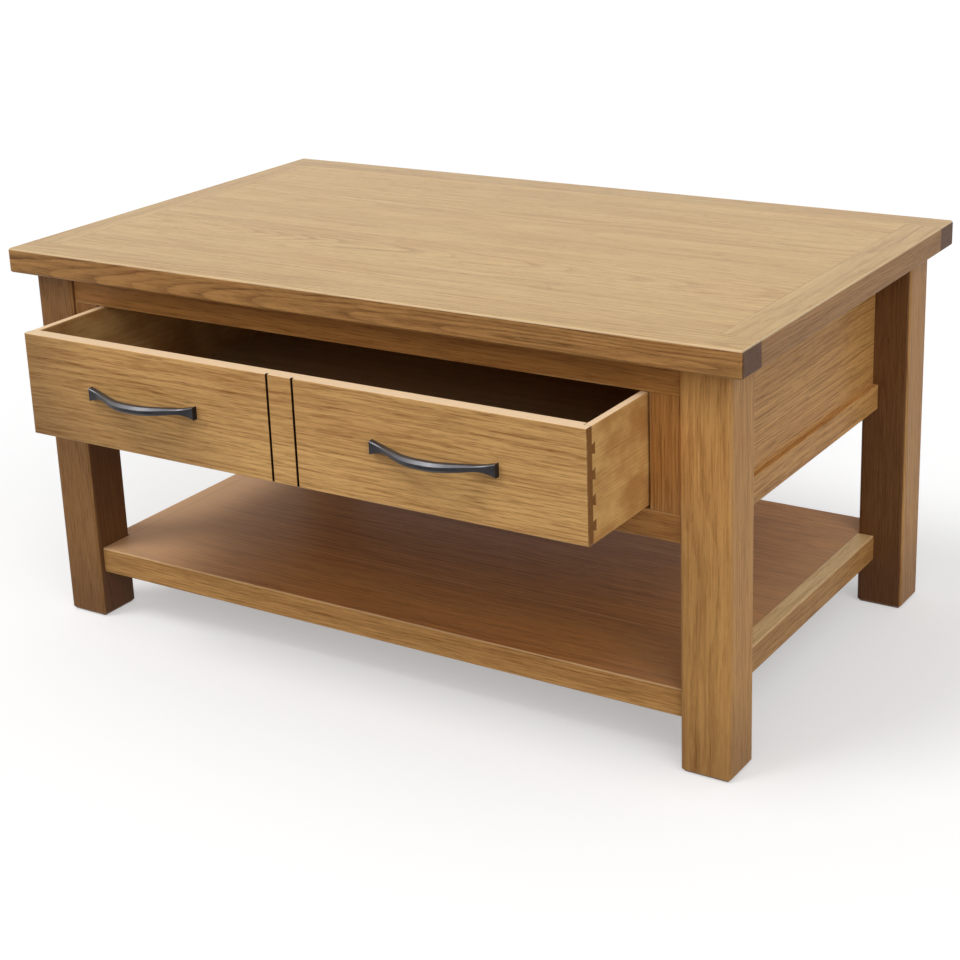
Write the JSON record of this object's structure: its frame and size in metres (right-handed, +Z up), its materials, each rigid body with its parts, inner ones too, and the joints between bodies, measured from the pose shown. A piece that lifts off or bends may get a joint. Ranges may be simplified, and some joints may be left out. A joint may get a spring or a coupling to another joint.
{
  "type": "coffee table with drawer",
  "caption": "Low oak coffee table on square legs with a framed plank top, one wide sliding drawer on dovetailed sides with dark bow pulls, and a planked lower shelf.",
  "frame": {"origin": "on the floor under the middle of the whole part with its drawer at rest, drawn out by 114 mm; the middle of the table top lies 59 mm behind it in +Y", "axes": "+X along the table's length, to the right as seen from the drawer side; +Y from the drawer side to the back; +Z up"},
  "size_m": [0.9, 0.662, 0.444],
  "materials": {
    "oak": "satin",
    "oak_light": "satin",
    "oak_shelf": "satin",
    "drawer_wood": "satin",
    "inner_wood": "matte",
    "iron": "satin",
    "screw_steel": "satin"
  },
  "bodies": {
    "carcass": {"front_bottom_rail": "oak", "front_left_stile": "oak", "front_right_stile": "oak", "front_top_rail": "oak", "left_drawer_stop": "inner_wood", "left_guide": "inner_wood", "left_kicker": "inner_wood", "left_runner": "inner_wood", "left_side_panel": "oak", "left_side_rail": "oak", "leg_front_left": "oak", "leg_front_right": "oak", "leg_rear_left": "oak", "leg_rear_right": "oak", "rear_panel": "oak", "rear_rail": "oak", "right_drawer_stop": "inner_wood", "right_guide": "inner_wood", "right_kicker": "inner_wood", "right_runner": "inner_wood", "right_side_panel": "oak", "right_side_rail": "oak", "shelf_board_1": "oak_shelf", "shelf_board_2": "oak_shelf", "shelf_board_3": "oak_shelf", "shelf_board_4": "oak_shelf", "shelf_board_5": "oak_shelf", "shelf_front_rail": "oak_shelf", "shelf_left_rail": "oak_shelf", "shelf_rear_rail": "oak_shelf", "shelf_right_rail": "oak_shelf", "top_board_1": "oak_light", "top_board_2": "oak_light", "top_board_3": "oak_light", "top_board_4": "oak_light", "top_board_5": "oak_light", "top_front_rail": "oak_light", "top_left_end_rail": "oak_light", "top_rear_rail": "oak_light", "top_right_end_rail": "oak_light", "top_screws": "screw_steel"},
    "drawer": {"drawer_back": "drawer_wood", "drawer_bottom": "drawer_wood", "drawer_bottom_screws": "screw_steel", "drawer_front": "oak_light", "drawer_left_side": "drawer_wood", "drawer_right_side": "drawer_wood", "left_pull": "iron", "pull_screws": "screw_steel", "right_pull": "iron"}
  },
  "joints": [
    {"name": "drawer_slide", "type": "slide", "parent": "carcass", "child": "drawer", "axis": [0, -1, 0], "range_m": [-0.114, 0.226]}
  ]
}
